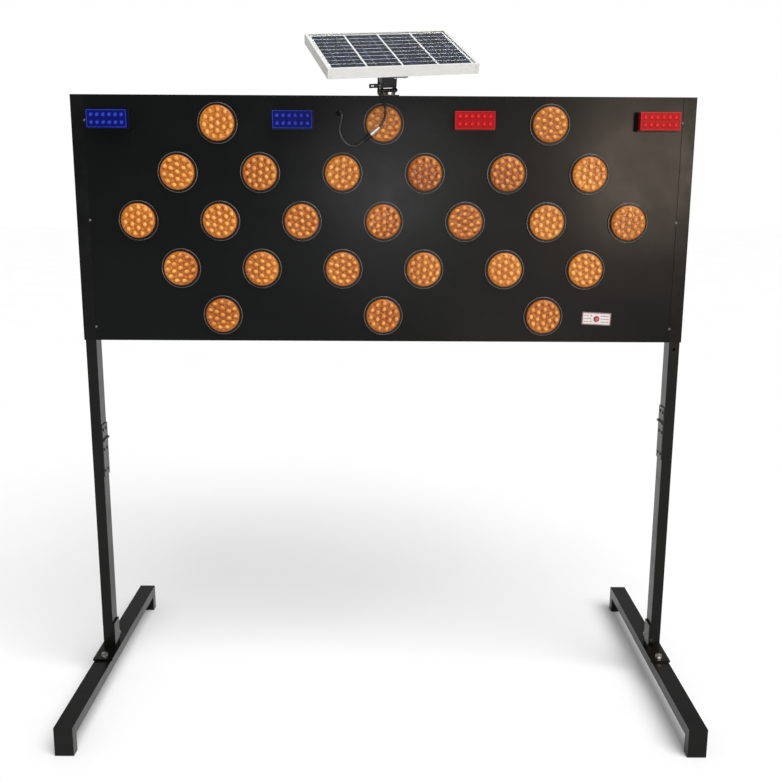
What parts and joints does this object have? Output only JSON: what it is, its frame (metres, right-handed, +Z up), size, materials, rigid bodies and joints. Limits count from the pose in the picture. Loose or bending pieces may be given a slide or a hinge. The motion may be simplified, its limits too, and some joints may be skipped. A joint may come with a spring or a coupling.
{
  "type": "arrow board",
  "caption": "Free-standing arrow board with amber lamps, strobes and a tilting solar panel, on two legs with T-shaped feet that fold.",
  "frame": {"origin": "on the floor, midway between the two feet and under the board", "axes": "+X to the board's right as seen from its lamp side, -Y out of its lamp side, +Z up"},
  "size_m": [1.722, 0.93, 1.9095],
  "materials": {
    "sheet_black": "satin",
    "frame_black": "satin",
    "leg_black": "satin",
    "bezel_black": "satin",
    "amber_lens": "gloss",
    "blue_lens": "gloss",
    "red_lens": "gloss",
    "circuit_green": "matte",
    "plate_white": "gloss",
    "rubber_black": "matte",
    "button_red": "gloss",
    "bushing_red": "gloss",
    "zinc_steel": "satin",
    "black_steel": "satin",
    "panel_frame": "satin",
    "panel_glass": "gloss",
    "panel_cells": "gloss",
    "cable_rubber": "satin",
    "plastic_black": "matte",
    "battery_grey": "matte"
  },
  "bodies": {
    "board": {"face_sheet": "sheet_black", "back_sheet": "sheet_black", "left_upright": "frame_black", "right_upright": "frame_black", "top_rail": "frame_black", "bottom_rail": "frame_black", "inner_stiffeners": "frame_black", "seam_welds": "black_steel", "back_screws": "black_steel", "leg_lock_bolts": "zinc_steel", "lamp_bezels": "bezel_black", "lamp_lenses": "amber_lens", "lamp_boards": "circuit_green", "strobe_bases": "bezel_black", "blue_strobe_lenses": "blue_lens", "red_strobe_lenses": "red_lens", "strobe_boards": "circuit_green", "control_plate": "plate_white", "control_gasket": "rubber_black", "button_bushing": "bushing_red", "door_hinge": "black_steel", "battery": "battery_grey", "controller": "plastic_black", "swivel_bolt": "zinc_steel", "cable_front": "cable_rubber", "cable_tail": "cable_rubber", "cable_plug": "zinc_steel", "cable_socket": "plastic_black", "cable_gland": "plastic_black"},
    "mode_button": {"mode_button": "button_red"},
    "access_door": {"access_door": "sheet_black"},
    "door_latch": {"door_latch": "black_steel"},
    "solar_foot": {"bracket_foot": "black_steel", "cable_crossing": "cable_rubber"},
    "solar_head": {"bracket_arm": "black_steel", "tilt_bolt": "black_steel", "cross_strap": "black_steel", "solar_screws": "zinc_steel", "solar_frame": "panel_frame", "solar_glass": "panel_glass", "solar_cells": "panel_cells", "junction_box": "plastic_black", "cable_head": "cable_rubber"},
    "left_upper_leg": {"left_upper_leg": "leg_black", "left_upper_leaf": "black_steel"},
    "left_lower_leg": {"left_lower_leaf": "black_steel", "left_lower_leg": "leg_black", "left_foot_bracket": "leg_black", "left_foot_beam": "leg_black", "left_foot_caps": "plastic_black", "left_foot_bolts": "zinc_steel"},
    "right_upper_leg": {"right_upper_leg": "leg_black", "right_upper_leaf": "black_steel"},
    "right_lower_leg": {"right_lower_leaf": "black_steel", "right_lower_leg": "leg_black", "right_foot_bracket": "leg_black", "right_foot_beam": "leg_black", "right_foot_caps": "plastic_black", "right_foot_bolts": "zinc_steel"}
  },
  "joints": [
    {"name": "solar_swivel", "type": "hinge", "parent": "board", "child": "solar_foot", "pos_m": [0.016, -0.012, 1.709], "axis": [0, 0, 1], "range_deg": [-45, 30]},
    {"name": "solar_tilt", "type": "hinge", "parent": "solar_foot", "child": "solar_head", "pos_m": [0.01079, 0.00731, 1.726], "axis": [0.9633, 0.2599, 0.0663], "range_deg": [-44, 10]},
    {"name": "mode_press", "type": "slide", "parent": "board", "child": "mode_button", "axis": [0, 1, 0], "range_m": [0, 0.002], "stiffness_N_per_m": 800},
    {"name": "door_swing", "type": "hinge", "parent": "board", "child": "access_door", "pos_m": [0.352, 0.032, 1.212], "axis": [0, 0, -1], "range_deg": [0, 110]},
    {"name": "latch_turn", "type": "hinge", "parent": "access_door", "child": "door_latch", "pos_m": [0.13, 0.0298, 1.212], "axis": [0, 1, 0], "range_deg": [0, 90]},
    {"name": "left_leg_slide", "type": "slide", "parent": "board", "child": "left_upper_leg", "axis": [0, 0, 1], "range_m": [0, 0.19]},
    {"name": "right_leg_slide", "type": "slide", "parent": "board", "child": "right_upper_leg", "axis": [0, 0, 1], "range_m": [0, 0.19]},
    {"name": "left_fold", "type": "hinge", "parent": "left_upper_leg", "child": "left_lower_leg", "pos_m": [-0.813, 0, 0.74], "axis": [0, -1, 0], "range_deg": [0, 90]},
    {"name": "right_fold", "type": "hinge", "parent": "right_upper_leg", "child": "right_lower_leg", "pos_m": [0.813, 0, 0.798], "axis": [0, 1, 0], "range_deg": [0, 90]}
  ],
  "couplings": [
    {"joint": "right_leg_slide", "follows": "left_leg_slide", "ratio": 1}
  ]
}
